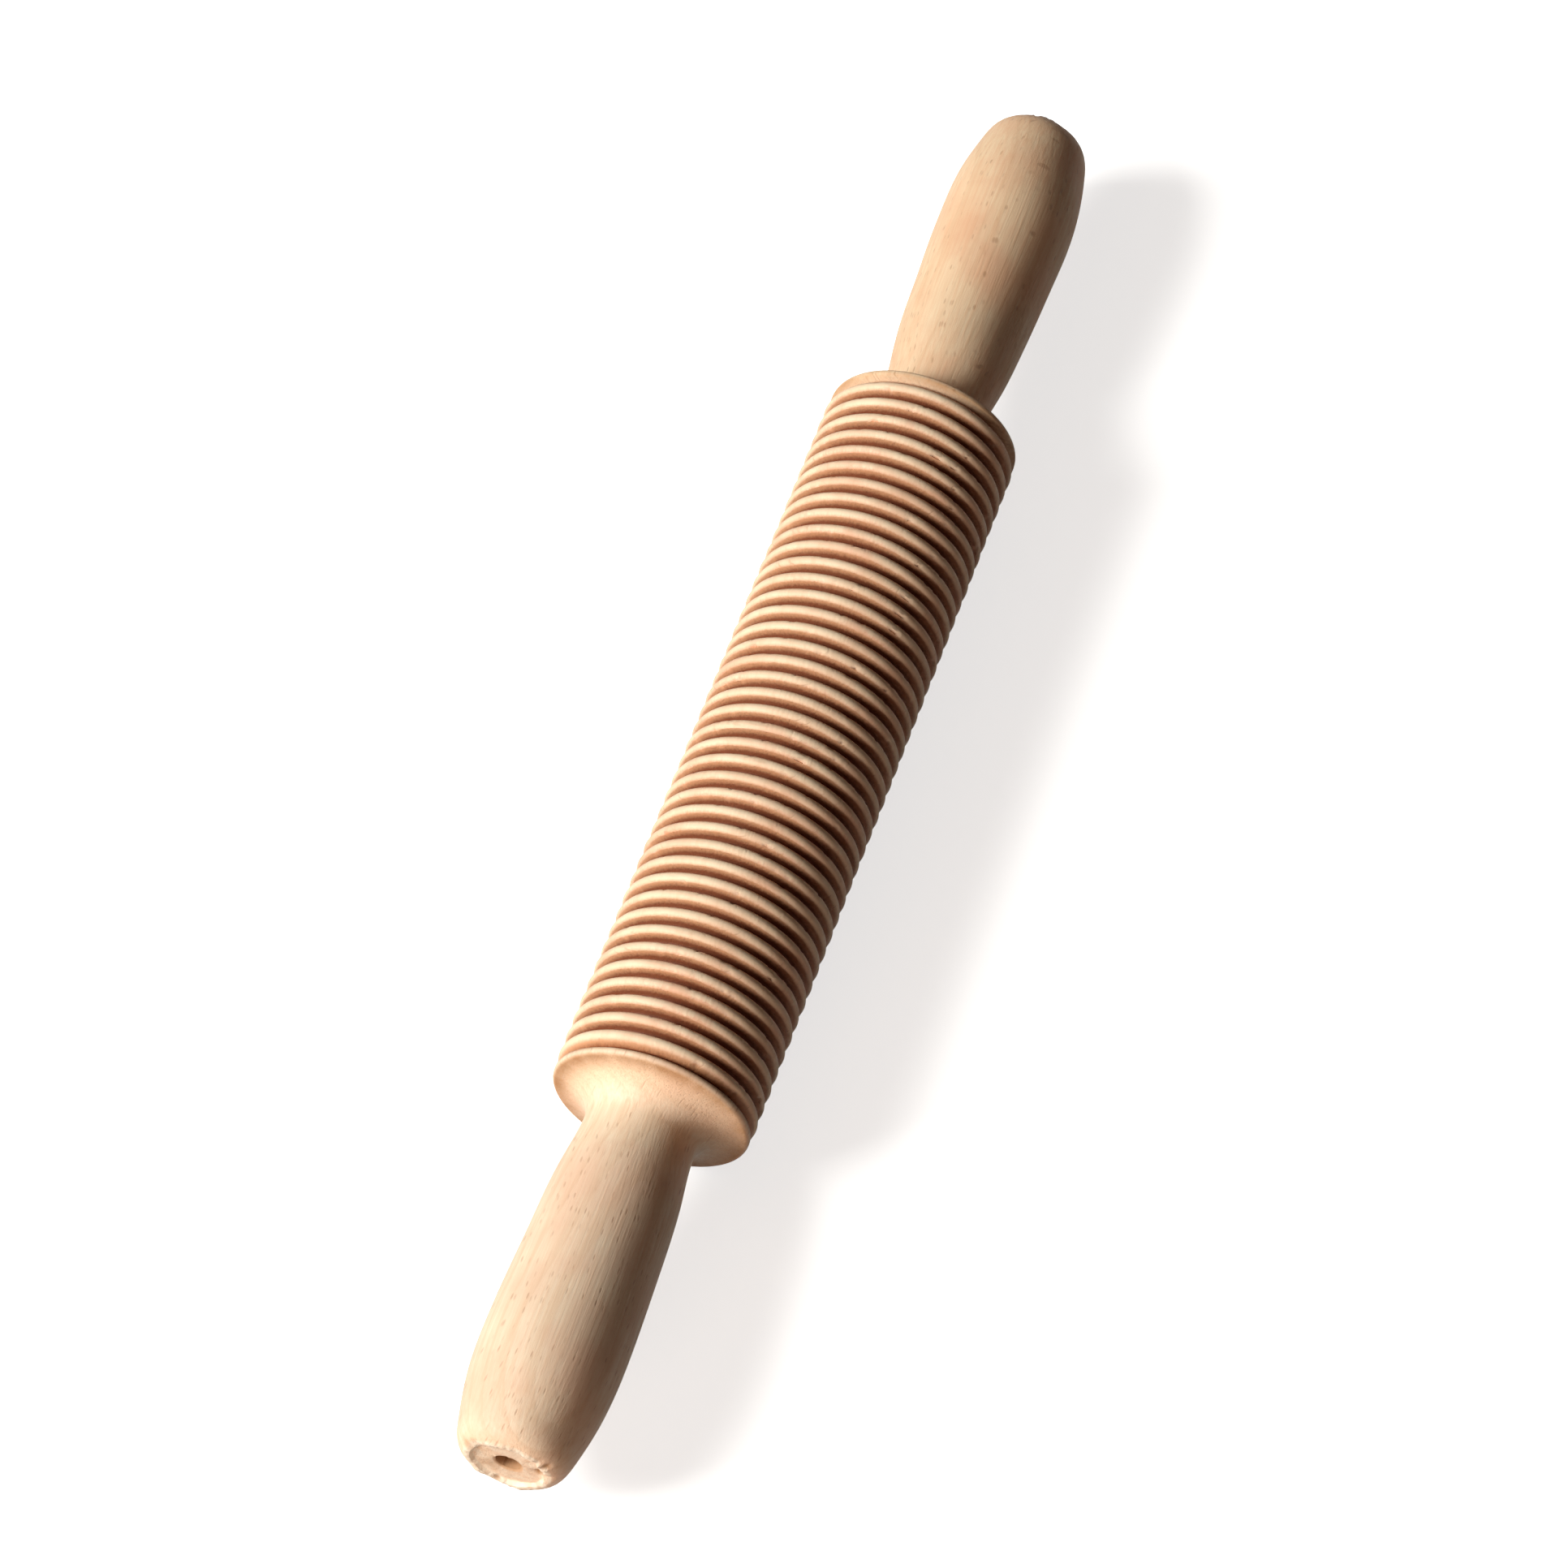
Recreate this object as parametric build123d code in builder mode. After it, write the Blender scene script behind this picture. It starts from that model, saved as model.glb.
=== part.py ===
from build123d import *
import math
import os

os.makedirs("parts", exist_ok=True)

# A ribbed wooden roller that cuts a sheet of pasta into strips. It turns on a
# steel rod between two turned handles. The pin lies along X, +Z is up, and the
# origin is the middle of the roller, on the axis. All lengths in millimetres.

# The whole pin
overall_length = 320.0

# Roller
roller_diameter = 40.0
rib_count = 40
rib_pitch = 4.0
crest_width = 1.9
crest_crown = 0.4
groove_depth = 2.8
groove_root_radius = 0.55
end_bevel_depth = 1.6

# Play and fits between the pieces
end_play = 0.3
bush_running_clearance = 0.05
press_interference = 0.03
rod_bore_clearance = 1.0
recess_clearance = 1.0
washer_clearance = 0.15
ring_side_clearance = 0.1

# Steel axle rod
rod_diameter = 8.0
rod_insertion = 48.0
rod_chamfer = 0.8
glue_groove_count = 4
glue_groove_pitch = 9.0
glue_groove_width = 1.5
glue_groove_depth = 0.4

# Nylon bushes in the roller's ends
bush_length = 12.0
bush_wall = 3.0
flange_diameter = 18.0
flange_thickness = 1.5
bush_chamfer = 0.6
seat_relief = 1.0

# Thrust washers
washer_diameter = 16.0
washer_thickness = 0.8

# Retaining rings in the rod's grooves
ring_thickness = 0.8
ring_back_width = 1.7
ring_tip_width = 1.1
ring_groove_depth = 0.3
ring_opening = 3.4
lug_radius = 1.4
lug_hole_radius = 0.6

# Handles
collar_setback = 0.3
collar_bevel = 0.8
collar_land = 0.4
collar_edge_radius = 0.9
cove_length = 6.0
neck_diameter = 22.0
grip_diameter = 27.4
end_face_diameter = 16.8
end_edge_radius = 1.1
rod_hole_relief = 2.0
drill_point_angle = 118.0

# Turning centre hole in each handle's end face
centre_hole_diameter = 5.0
centre_hole_depth = 7.0
centre_hole_mouth = 0.6

# Places along the grip, as shares of the handle's length and of the grip's radius
grip_shares = [(0.22, 0.875), (0.42, 0.953), (0.64, 1.0), (0.82, 0.957), (0.925, 0.845)]

# Sizes worked out from the ones above
roller_radius = roller_diameter / 2
half_roller = rib_count * rib_pitch / 2
crest_edge_radius = roller_radius - crest_crown
groove_root = roller_radius - groove_depth
bevel_radius = roller_radius - end_bevel_depth
collar_radius = roller_radius - collar_setback
rod_radius = rod_diameter / 2
bush_radius = rod_radius + bush_running_clearance + bush_wall
recess_radius = flange_diameter / 2 + recess_clearance
recess_depth = flange_thickness + end_play + washer_thickness + ring_thickness + 2 * end_play
recess_floor = half_roller - recess_depth
flange_face = recess_floor + flange_thickness
washer_inner_face = flange_face + end_play
washer_outer_face = washer_inner_face + washer_thickness
ring_outer_face = washer_outer_face + ring_thickness
handle_start = half_roller + end_play
handle_end = overall_length / 2
handle_length = handle_end - handle_start
rod_end = handle_start + rod_insertion
drill_point_slope = math.tan(math.radians(drill_point_angle / 2))


def groove_tangent(opening_half, height):
    """Returns the point, from the root arc's centre, where a groove's flank meets the arc."""
    reach = math.hypot(opening_half, height)
    angle = math.atan2(height, opening_half) - math.acos(groove_root_radius / reach)
    return groove_root_radius * math.cos(angle), groove_root_radius * math.sin(angle)


def groove_outline(groove_centre):
    """Draws one groove from crest edge to crest edge, with a rounded root."""
    opening_half = (rib_pitch - crest_width) / 2
    arc_centre = groove_root + groove_root_radius
    across, up = groove_tangent(opening_half, crest_edge_radius - arc_centre)
    arc_start = (groove_centre - across, arc_centre + up)
    arc_end = (groove_centre + across, arc_centre + up)
    Line((groove_centre - opening_half, crest_edge_radius), arc_start)
    ThreePointArc(arc_start, (groove_centre, groove_root), arc_end)
    Line(arc_end, (groove_centre + opening_half, crest_edge_radius))


# Roller: forty ribs, bevelled ends, a bored centre and a stepped seat in each end
with BuildPart() as cutting_barrel:
    with BuildSketch(Plane.XZ):
        with BuildLine():
            for rib in range(rib_count):
                rib_centre = (rib + 1 / 2) * rib_pitch - half_roller
                crest_start = (rib_centre - crest_width / 2, crest_edge_radius)
                crest_end = (rib_centre + crest_width / 2, crest_edge_radius)
                ThreePointArc(crest_start, (rib_centre, roller_radius), crest_end)
                if rib < rib_count - 1:
                    groove_outline(rib_centre + rib_pitch / 2)
            outer_crest = half_roller - (rib_pitch - crest_width) / 2
            Polyline(
                (outer_crest, crest_edge_radius),
                (half_roller, bevel_radius),
                (half_roller, 0),
                (-half_roller, 0),
                (-half_roller, bevel_radius),
                (-outer_crest, crest_edge_radius),
            )
        make_face()
    revolve(axis=Axis.X)
    for end in (-1, 1):
        with BuildSketch(Plane.YZ.offset(end * half_roller)):
            Circle(recess_radius)
        extrude(amount=-end * recess_depth, mode=Mode.SUBTRACT)
        with BuildSketch(Plane.YZ.offset(end * recess_floor)):
            Circle(bush_radius - press_interference)
        extrude(amount=-end * (bush_length + seat_relief), mode=Mode.SUBTRACT)
    with BuildSketch(Plane.YZ):
        Circle(rod_radius + rod_bore_clearance)
    extrude(amount=half_roller, both=True, mode=Mode.SUBTRACT)
cutting_barrel.part.label = "cutting_barrel"
export_step(cutting_barrel.part, "parts/cutting_barrel.step")


# Axle rod: chamfered ends, a groove for each retaining ring, glue grooves in the handles
with BuildPart() as axle_rod:
    with BuildSketch(Plane.YZ):
        Circle(rod_radius)
    extrude(amount=rod_end, both=True)
    chamfer(axle_rod.faces().filter_by(GeomType.PLANE).edges(), rod_chamfer)
    ring_groove_width = ring_thickness + ring_side_clearance
    first_glue_groove = handle_start + glue_groove_pitch
    for end in (-1, 1):
        with BuildSketch(Plane.XZ):
            with Locations((end * (washer_outer_face + ring_groove_width / 2), rod_radius)):
                Rectangle(ring_groove_width, 2 * ring_groove_depth)
            for groove in range(glue_groove_count):
                with Locations((end * (first_glue_groove + groove * glue_groove_pitch), rod_radius)):
                    Rectangle(glue_groove_width, 2 * glue_groove_depth)
        revolve(axis=Axis.X, mode=Mode.SUBTRACT)
axle_rod.part.label = "axle_rod"
export_step(axle_rod.part, "parts/axle_rod.step")


# Flanged bushes, pressed into the roller's ends, that run on the rod
for side, mirrored in (("left", True), ("right", False)):
    with BuildPart() as bearing_bush:
        bush_bore = rod_radius + bush_running_clearance
        with BuildSketch(Plane.XZ):
            with BuildLine():
                Polyline(
                    (flange_face, bush_bore),
                    (flange_face, flange_diameter / 2),
                    (recess_floor, flange_diameter / 2),
                    (recess_floor, bush_radius),
                    (recess_floor - bush_length + bush_chamfer, bush_radius),
                    (recess_floor - bush_length, bush_radius - bush_chamfer),
                    (recess_floor - bush_length, bush_bore),
                    close=True,
                )
            make_face()
        revolve(axis=Axis.X)
        if mirrored:
            mirror(about=Plane.YZ, mode=Mode.REPLACE)
    bearing_bush.part.label = f"bearing_bush_{side}"
    export_step(bearing_bush.part, f"parts/bearing_bush_{side}.step")


# Thrust washers between the bush flanges and the retaining rings
for side, mirrored in (("left", True), ("right", False)):
    with BuildPart() as thrust_washer:
        with BuildSketch(Plane.YZ.offset(washer_inner_face)):
            Circle(washer_diameter / 2)
            Circle(rod_radius + washer_clearance, mode=Mode.SUBTRACT)
        extrude(amount=washer_thickness)
        if mirrored:
            mirror(about=Plane.YZ, mode=Mode.REPLACE)
    thrust_washer.part.label = f"thrust_washer_{side}"
    export_step(thrust_washer.part, f"parts/thrust_washer_{side}.step")


# Retaining rings: open spring rings, wider at the back, with a plier hole in each lug
for side, mirrored in (("left", True), ("right", False)):
    with BuildPart() as retaining_ring:
        ring_bore = rod_radius - ring_groove_depth
        ring_outer = ring_bore + (ring_back_width + ring_tip_width) / 2
        ring_shift = (ring_back_width - ring_tip_width) / 2
        lug_height = ring_bore + lug_radius
        lug_side = ring_opening / 2 + lug_radius
        with BuildSketch(Plane.YZ.offset(washer_outer_face)):
            with Locations((0, -ring_shift)):
                Circle(ring_outer)
            with Locations((-lug_side, lug_height), (lug_side, lug_height)):
                Circle(lug_radius)
            Circle(ring_bore, mode=Mode.SUBTRACT)
            with Locations((0, lug_height)):
                Rectangle(ring_opening, 2 * lug_height, mode=Mode.SUBTRACT)
            with Locations((-lug_side, lug_height), (lug_side, lug_height)):
                Circle(lug_hole_radius, mode=Mode.SUBTRACT)
        extrude(amount=ring_thickness)
        if mirrored:
            mirror(about=Plane.YZ, mode=Mode.REPLACE)
    retaining_ring.part.label = f"retaining_ring_{side}"
    export_step(retaining_ring.part, f"parts/retaining_ring_{side}.step")


def handle_outline():
    """Draws a handle's half section: collar, cove, swelling grip and flat end."""
    neck_radius = neck_diameter / 2
    land_end = handle_start + collar_bevel + collar_land
    cove_start = land_end + collar_edge_radius
    cove_top = collar_radius - collar_edge_radius
    cove_end = cove_start + cove_length
    grip_end = (handle_end - end_edge_radius, end_face_diameter / 2 + end_edge_radius)
    grip_points = [
        (handle_start + along * handle_length, out * grip_diameter / 2) for along, out in grip_shares
    ]
    Polyline(
        (handle_end, 0),
        (handle_start, 0),
        (handle_start, bevel_radius),
        (handle_start + collar_bevel, collar_radius),
        (land_end, collar_radius),
    )
    RadiusArc((land_end, collar_radius), (cove_start, cove_top), collar_edge_radius)
    EllipticalCenterArc(
        (cove_end, cove_top), cove_length, cove_top - neck_radius, start_angle=180, arc_size=90
    )
    Spline(
        (cove_end, neck_radius), *grip_points, grip_end, tangents=[(1, 0), (1, -1)]
    )
    Polyline(grip_end, (handle_end, end_face_diameter / 2), (handle_end, 0))


# Handles: turned grips, each with a blind hole for the rod and a turning centre in its end
for side, mirrored in (("left", True), ("right", False)):
    with BuildPart() as handle:
        with BuildSketch(Plane.XZ):
            with BuildLine():
                handle_outline()
            make_face()
        revolve(axis=Axis.X)
        rod_hole = rod_radius - press_interference
        rod_hole_end = rod_end + rod_hole_relief
        centre_hole = centre_hole_diameter / 2
        centre_hole_end = handle_end - centre_hole_depth
        with BuildSketch(Plane.XZ):
            with BuildLine():
                Polyline(
                    (handle_start, 0),
                    (handle_start, rod_hole),
                    (rod_hole_end, rod_hole),
                    (rod_hole_end + rod_hole / drill_point_slope, 0),
                    close=True,
                )
            make_face()
            with BuildLine():
                Polyline(
                    (handle_end, 0),
                    (handle_end, centre_hole + centre_hole_mouth),
                    (handle_end - centre_hole_mouth, centre_hole),
                    (centre_hole_end, centre_hole),
                    (centre_hole_end - centre_hole / drill_point_slope, 0),
                    close=True,
                )
            make_face()
        revolve(axis=Axis.X, mode=Mode.SUBTRACT)
        if mirrored:
            mirror(about=Plane.YZ, mode=Mode.REPLACE)
    handle.part.label = f"handle_{side}"
    export_step(handle.part, f"parts/handle_{side}.step")
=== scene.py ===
"""Looks of a pasta cutting pin: a ribbed beech roller that turns on a steel rod between two handles.

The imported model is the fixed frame. The roller and the two handles are turned again here, ring by
ring, with the small faults of real turned wood, and the metal and nylon pieces inside keep their
shapes and get their finishes.
"""

from __future__ import annotations

import logging
import math
from dataclasses import dataclass, field
from enum import Enum

import bpy
import numpy as np
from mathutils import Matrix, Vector


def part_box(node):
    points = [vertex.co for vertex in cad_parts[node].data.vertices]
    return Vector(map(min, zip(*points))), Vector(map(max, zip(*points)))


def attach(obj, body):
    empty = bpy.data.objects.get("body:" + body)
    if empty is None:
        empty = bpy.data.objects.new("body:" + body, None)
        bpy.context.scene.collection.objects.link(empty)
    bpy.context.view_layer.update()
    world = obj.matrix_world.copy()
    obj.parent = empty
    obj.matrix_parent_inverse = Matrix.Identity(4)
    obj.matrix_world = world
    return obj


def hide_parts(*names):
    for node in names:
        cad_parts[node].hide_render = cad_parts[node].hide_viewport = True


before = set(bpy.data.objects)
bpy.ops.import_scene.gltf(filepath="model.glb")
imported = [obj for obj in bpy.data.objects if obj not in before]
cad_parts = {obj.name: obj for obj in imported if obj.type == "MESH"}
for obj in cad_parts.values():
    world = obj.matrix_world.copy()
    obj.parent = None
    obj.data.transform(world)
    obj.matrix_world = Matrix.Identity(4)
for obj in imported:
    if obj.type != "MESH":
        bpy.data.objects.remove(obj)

log = logging.getLogger("pin")

Tree = bpy.types.NodeTree
Socket = bpy.types.NodeSocket

MM = 0.001
WHITE = (1.0, 1.0, 1.0, 1.0)

# A colour Mix node names its factor, colours and result by number only
MIX_FACTOR, MIX_A, MIX_B, MIX_RESULT = 0, 6, 7, 2


class End(Enum):
    """The two ends of the pin, by the sign of X at each."""

    LEFT = -1
    RIGHT = 1

    @property
    def word(self) -> str:
        """The word that names this end's pieces."""
        return self.name.lower()


class Zone(Enum):
    """What part of the roller a ring of points lies on."""

    CREST_LEFT = "left edge of a rib's crest"
    CREST = "crest of a rib"
    CREST_RIGHT = "right edge of a rib's crest"
    FLANK = "side of a groove"
    ROOT = "root of a groove"
    INSIDE = "bore or seat"


# The crest's edges, with the sign of X towards the middle of the crest
CREST_EDGES = {Zone.CREST_LEFT: 1, Zone.CREST_RIGHT: -1}

# How rough the cut is in each zone, as a share of the crests' wander, and its knots round a ring
ROUGH_CUTS = {Zone.FLANK: (0.6, 120), Zone.ROOT: (0.8, 80)}


def linear(colour: str) -> tuple[float, float, float, float]:
    """Turns an sRGB colour into Blender's linear one.

    Args:
        colour: The colour as #RRGGBB.

    Returns:
        Red, green, blue and an alpha of 1, all linear.
    """
    parts = [int(colour[i : i + 2], 16) / 255 for i in (1, 3, 5)]
    red, green, blue = [p / 12.92 if p <= 0.04045 else ((p + 0.055) / 1.055) ** 2.4 for p in parts]
    return red, green, blue, 1.0


def add_node(
    tree: Tree, kind: str, inputs: dict[str | int, object] | None = None, **settings: object
) -> bpy.types.NodeOutputs:
    """Adds one node, with its settings and what feeds it.

    Args:
        tree: The node tree that the node joins.
        kind: Blender's name for the kind of node, without the ShaderNode that they all start with.
        inputs: A plain value or another node's output for each input, by its name or number.
        settings: Properties of the node itself, by name.

    Returns:
        The new node's outputs, by name or number.
    """
    node = tree.nodes.new(f"ShaderNode{kind}")
    for name, value in settings.items():
        setattr(node, name, value)
    for key, value in (inputs or {}).items():
        if isinstance(value, Socket):
            tree.links.new(value, node.inputs[key])
        else:
            node.inputs[key].default_value = value
    return node.outputs


@dataclass(frozen=True)
class Finish:
    """A finish, which builds a node material under its own name."""

    name: str

    def material(self) -> bpy.types.Material:
        """Builds the finish's node material.

        Returns:
            The new material.
        """
        material = bpy.data.materials.new(self.name)
        material.use_nodes = True
        material.node_tree.nodes.clear()
        surface = self._surface(material.node_tree)
        add_node(material.node_tree, "OutputMaterial", {"Surface": surface})
        return material

    def _surface(self, tree: Tree) -> Socket:
        """Adds the finish's nodes: each kind of finish has its own."""
        raise NotImplementedError


@dataclass(frozen=True)
class Grain:
    """What a wood's nodes know of each point: its place in millimetres, and from 0 to 1 its pattern.

    The pattern is the height of the streaks, and the shares of late wood, ray fleck, end grain
    and open pore.
    """

    tree: Tree
    at_mm: Socket
    fibre: Socket
    late_wood: Socket
    fleck: Socket
    end: Socket
    pore: Socket


@dataclass(frozen=True)
class Beech(Finish):
    """Raw beech, turned and sanded: a dense pale wood with faint growth rings and short ray flecks.

    The pattern is solid, like the wood's own: rings lie round a pith beside the pin, rays run
    outwards from it, and the sawn or cut-across faces show end grain, which drinks light and looks
    browner and rougher than the long grain.
    """

    pith_mm: tuple[float, float] = (46.0, -38.0)
    pale: str = "#F7E1C4"
    warm: str = "#EBC5A0"
    rosy: str = "#EABC9E"
    ring_line: str = "#CFA273"
    fleck: str = "#A26C44"
    end_grain: str = "#F2C9A4"
    pore: str = "#8A5632"
    torn: str = "#FFF3DE"
    # Brown that the mesh's mark lays on: real chips, and painted shade in creases and the centre holes
    stain_and_shade: str = "#A0661F"
    ring_mm: float = 2.8
    blotch_mm: float = 14.0
    fibre_mm: float = 0.6
    fibre_length_mm: float = 22.0
    # The grain's slow wander: how far it goes, and its turns for each millimetre along and across
    drift_mm: float = 9.0
    drift_per_mm: tuple[float, float, float] = (0.009, 0.03, 0.03)
    # Real flecks are 0.1 to 0.3 mm wide; they are drawn a little coarse so that they show
    fleck_width_mm: float = 0.5
    fleck_length_mm: float = 2.8
    fleck_depth_mm: float = 9.0
    # Real pores are under 0.1 mm; they are drawn coarse so that the sawn end looks grainy
    pore_mm: float = 0.45
    pore_length_mm: float = 2.5
    tears_per_mm: float = 1.9
    relief_mm: float = 0.16
    relief_strength: float = 0.55
    roughness: tuple[float, float] = (0.52, 0.7)
    ior: float = 1.48

    def _surface(self, tree: Tree) -> Socket:
        """Draws the wood's pattern, and works out its colour, roughness and relief from it.

        Args:
            tree: The material's node tree.

        Returns:
            The wood's surface.
        """
        place = add_node(tree, "TexCoord")["Object"]
        at_mm = add_node(tree, "VectorMath", {0: place, "Scale": 1 / MM}, operation="SCALE")[0]
        across = self._across_grain(tree, at_mm)
        radius = add_node(tree, "VectorMath", {0: across}, operation="LENGTH")["Value"]
        end = self._end_grain(tree)
        grain = Grain(
            tree=tree,
            at_mm=at_mm,
            fibre=self._fibres(tree, at_mm),
            late_wood=self._late_wood(tree, radius),
            fleck=self._flecks(tree, at_mm, across, radius),
            end=end,
            pore=self._pores(tree, at_mm, end),
        )
        smoothest, roughest = self.roughness
        rough = add_node(
            tree,
            "MapRange",
            {"Value": grain.fibre, "From Min": 0.3, "From Max": 0.7, "To Min": smoothest,
             "To Max": roughest},
        )[0]
        return add_node(
            tree,
            "BsdfPrincipled",
            {"Base Color": self._colour(grain), "Roughness": rough, "IOR": self.ior,
             "Normal": self._relief(grain)},
        )[0]

    def _across_grain(self, tree: Tree, at_mm: Socket) -> Socket:
        """Measures each point from the pith, across the grain, with the grain's slow wander.

        Args:
            tree: The material's node tree.
            at_mm: Each point's place in millimetres.

        Returns:
            A vector of Y and Z from the pith, in millimetres, with X set to nothing.
        """
        slow = add_node(tree, "VectorMath", {0: at_mm, 1: self.drift_per_mm}, operation="MULTIPLY")[0]
        wander = add_node(tree, "TexNoise", {"Vector": slow, "Scale": 1.0, "Detail": 2.0})["Color"]
        bent = add_node(
            tree,
            "VectorMath",
            {0: wander, 1: (0.0, self.drift_mm, self.drift_mm), 2: at_mm},
            operation="MULTIPLY_ADD",
        )[0]
        return add_node(
            tree,
            "VectorMath",
            {0: bent, 1: (0.0, 1.0, 1.0), 2: (0.0, *self.pith_mm)},
            operation="MULTIPLY_ADD",
        )[0]

    def _late_wood(self, tree: Tree, radius: Socket) -> Socket:
        """Draws the late wood of each year: it darkens slowly outwards and ends at once.

        Args:
            tree: The material's node tree.
            radius: Each point's distance from the pith in millimetres.

        Returns:
            The share of late wood, from 0 to 1.
        """
        uneven = add_node(
            tree,
            "TexNoise",
            {"W": radius, "Scale": 0.5 / self.ring_mm, "Detail": 1.0},
            noise_dimensions="1D",
        )[0]
        shifted = add_node(
            tree, "Math", {0: uneven, 1: self.ring_mm, 2: radius}, operation="MULTIPLY_ADD"
        )[0]
        years = add_node(tree, "Math", {0: shifted, 1: self.ring_mm}, operation="DIVIDE")[0]
        share = add_node(tree, "Math", {0: years}, operation="FRACT")[0]
        return add_node(
            tree,
            "MapRange",
            {"Value": share, "From Min": 0.45, "From Max": 1.0},
            interpolation_type="SMOOTHSTEP",
        )[0]

    def _fibres(self, tree: Tree, at_mm: Socket) -> Socket:
        """Draws fine streaks along the grain.

        Args:
            tree: The material's node tree.
            at_mm: Each point's place in millimetres.

        Returns:
            The streaks' height, about 0.5 on average.
        """
        stretched = add_node(
            tree,
            "VectorMath",
            {0: at_mm, 1: (1 / self.fibre_length_mm, 1 / self.fibre_mm, 1 / self.fibre_mm)},
            operation="MULTIPLY",
        )[0]
        return add_node(
            tree, "TexNoise", {"Vector": stretched, "Scale": 1.0, "Detail": 5.0, "Roughness": 0.62}
        )[0]

    def _flecks(self, tree: Tree, at_mm: Socket, across: Socket, radius: Socket) -> Socket:
        """Draws the rays: thin sheets that show as short brown dashes along the grain.

        Args:
            tree: The material's node tree.
            at_mm: Each point's place in millimetres.
            across: Each point's Y and Z from the pith, in millimetres.
            radius: Each point's distance from the pith in millimetres.

        Returns:
            1 on a fleck and 0 beside it.
        """
        sides = add_node(tree, "SeparateXYZ", {0: across})
        angle = add_node(tree, "Math", {0: sides["Z"], 1: sides["Y"]}, operation="ARCTAN2")[0]
        along = add_node(tree, "SeparateXYZ", {0: at_mm})["X"]
        sizes = {
            "X": (along, 1 / self.fleck_length_mm),
            "Y": (radius, 1 / self.fleck_depth_mm),
            "Z": (angle, math.hypot(*self.pith_mm) / self.fleck_width_mm),
        }
        cells = {
            axis: add_node(tree, "Math", {0: place, 1: per_cell}, operation="MULTIPLY")[0]
            for axis, (place, per_cell) in sizes.items()
        }
        cell = add_node(tree, "CombineXYZ", cells)[0]
        spots = add_node(tree, "TexVoronoi", {"Vector": cell, "Scale": 1.0})
        shape = add_node(
            tree,
            "MapRange",
            {"Value": spots["Distance"], "From Min": 0.36, "From Max": 0.12},
            interpolation_type="SMOOTHSTEP",
        )[0]
        chosen = add_node(tree, "SeparateXYZ", {0: spots["Color"]})["X"]
        kept = add_node(tree, "MapRange", {"Value": chosen, "From Min": 0.45, "From Max": 1.0})[0]
        return add_node(tree, "Math", {0: shape, 1: kept}, operation="MULTIPLY")[0]

    def _end_grain(self, tree: Tree) -> Socket:
        """Finds the faces that are cut across the grain.

        Args:
            tree: The material's node tree.

        Returns:
            1 where the surface faces along X, and 0 where X runs along it.
        """
        normal = add_node(tree, "NewGeometry")["Normal"]
        facing = add_node(tree, "SeparateXYZ", {0: normal})["X"]
        size = add_node(tree, "Math", {0: facing}, operation="ABSOLUTE")[0]
        return add_node(
            tree,
            "MapRange",
            {"Value": size, "From Min": 0.55, "From Max": 0.97},
            interpolation_type="SMOOTHSTEP",
        )[0]

    def _pores(self, tree: Tree, at_mm: Socket, end: Socket) -> Socket:
        """Draws the open pores that end grain shows as dark dots.

        Args:
            tree: The material's node tree.
            at_mm: Each point's place in millimetres.
            end: The share of end grain.

        Returns:
            1 on a pore of an end-grain face and 0 elsewhere.
        """
        cells = add_node(
            tree,
            "VectorMath",
            {0: at_mm, 1: (1 / self.pore_length_mm, 1 / self.pore_mm, 1 / self.pore_mm)},
            operation="MULTIPLY",
        )[0]
        spots = add_node(tree, "TexVoronoi", {"Vector": cells, "Scale": 1.0})
        dots = add_node(
            tree,
            "MapRange",
            {"Value": spots["Distance"], "From Min": 0.42, "From Max": 0.18},
            interpolation_type="SMOOTHSTEP",
        )[0]
        return add_node(tree, "Math", {0: dots, 1: end}, operation="MULTIPLY")[0]

    @staticmethod
    def _mark(tree: Tree, name: str) -> Socket:
        """Reads a mark that the mesh carries at each point: torn fibres, or brown that is partly real chips
        and partly painted shade.
        """
        return add_node(tree, "Attribute", attribute_name=name)["Fac"]

    def _colour(self, grain: Grain) -> Socket:
        """Lays the wood's colours over each other.

        Args:
            grain: What the nodes know of each point.

        Returns:
            The wood's colour.
        """
        tree = grain.tree
        blotch = add_node(
            tree, "TexNoise", {"Vector": grain.at_mm, "Scale": 1 / self.blotch_mm, "Detail": 4.0}
        )[0]
        streak = add_node(tree, "MapRange", {"Value": grain.fibre, "From Min": 0.36, "From Max": 0.66})[0]
        mottle = add_node(
            tree, "MapRange", {"Value": blotch, "From Min": 0.4, "From Max": 0.65, "To Max": 0.7}
        )[0]
        layers: list[tuple[Socket, float, str]] = [
            (streak, 0.55, self.warm),
            (mottle, 0.8, self.rosy),
            (grain.late_wood, 0.16, self.ring_line),
            (grain.fleck, 0.42, self.fleck),
            (grain.end, 0.35, self.end_grain),
            (grain.pore, 0.16, self.pore),
            (self._mark(tree, "torn"), 0.85, self.torn),
            # Brown from real chips, and painted shade in the roller's end creases, the collars and the
            # centre holes
            (self._mark(tree, "stain_and_shade"), 0.9, self.stain_and_shade),
        ]
        colour: object = linear(self.pale)
        for mask, most, tint in layers:
            share = add_node(tree, "Math", {0: mask, 1: most}, operation="MULTIPLY")
            colour = add_node(
                tree,
                "Mix",
                {MIX_FACTOR: share[0], MIX_A: colour, MIX_B: linear(tint)},
                data_type="RGBA",
            )[MIX_RESULT]
        return colour

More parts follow.
